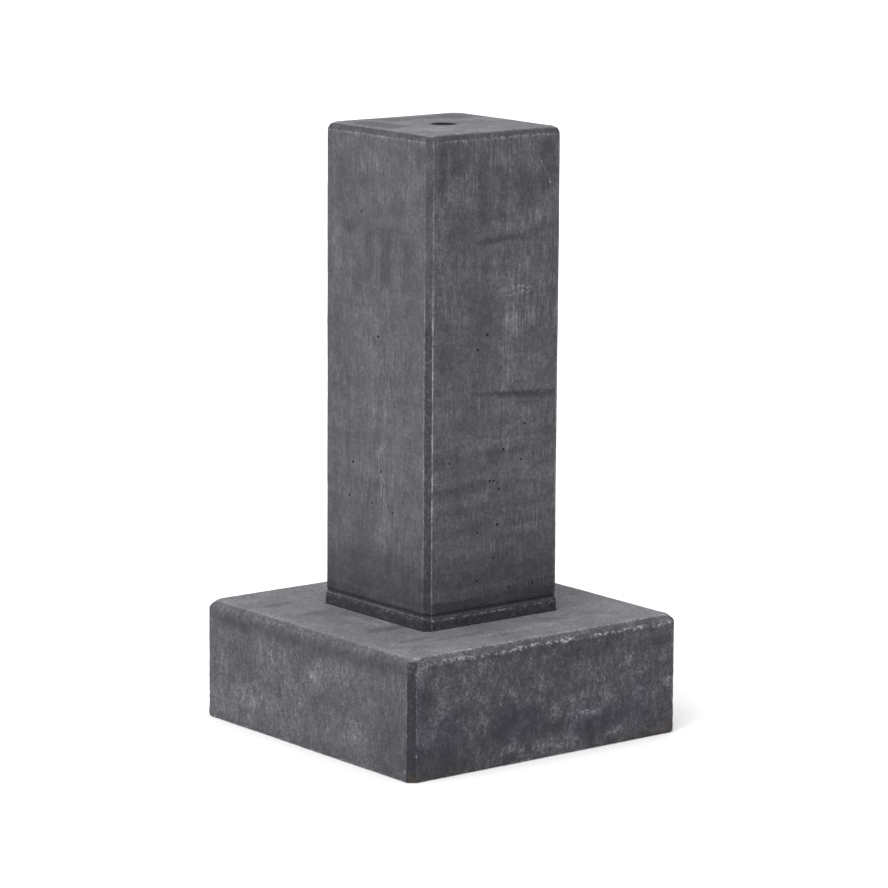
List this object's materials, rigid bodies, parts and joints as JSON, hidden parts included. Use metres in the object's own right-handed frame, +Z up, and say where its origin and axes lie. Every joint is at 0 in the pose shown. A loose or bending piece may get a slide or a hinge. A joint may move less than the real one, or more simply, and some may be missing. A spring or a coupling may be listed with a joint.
{
  "type": "column base block",
  "caption": "Square concrete column cast in one with a wider square foot, with a blind stud hole in its top, that carries a post.",
  "frame": {"origin": "middle of the foot's underside", "axes": "+Z up along the column; +X and +Y square to the side faces"},
  "size_m": [0.28, 0.28, 0.5],
  "materials": {
    "concrete": "matt cast concrete, dark grey all through"
  },
  "bodies": {
    "root": {"column_base_block": "concrete"}
  },
  "joints": []
}
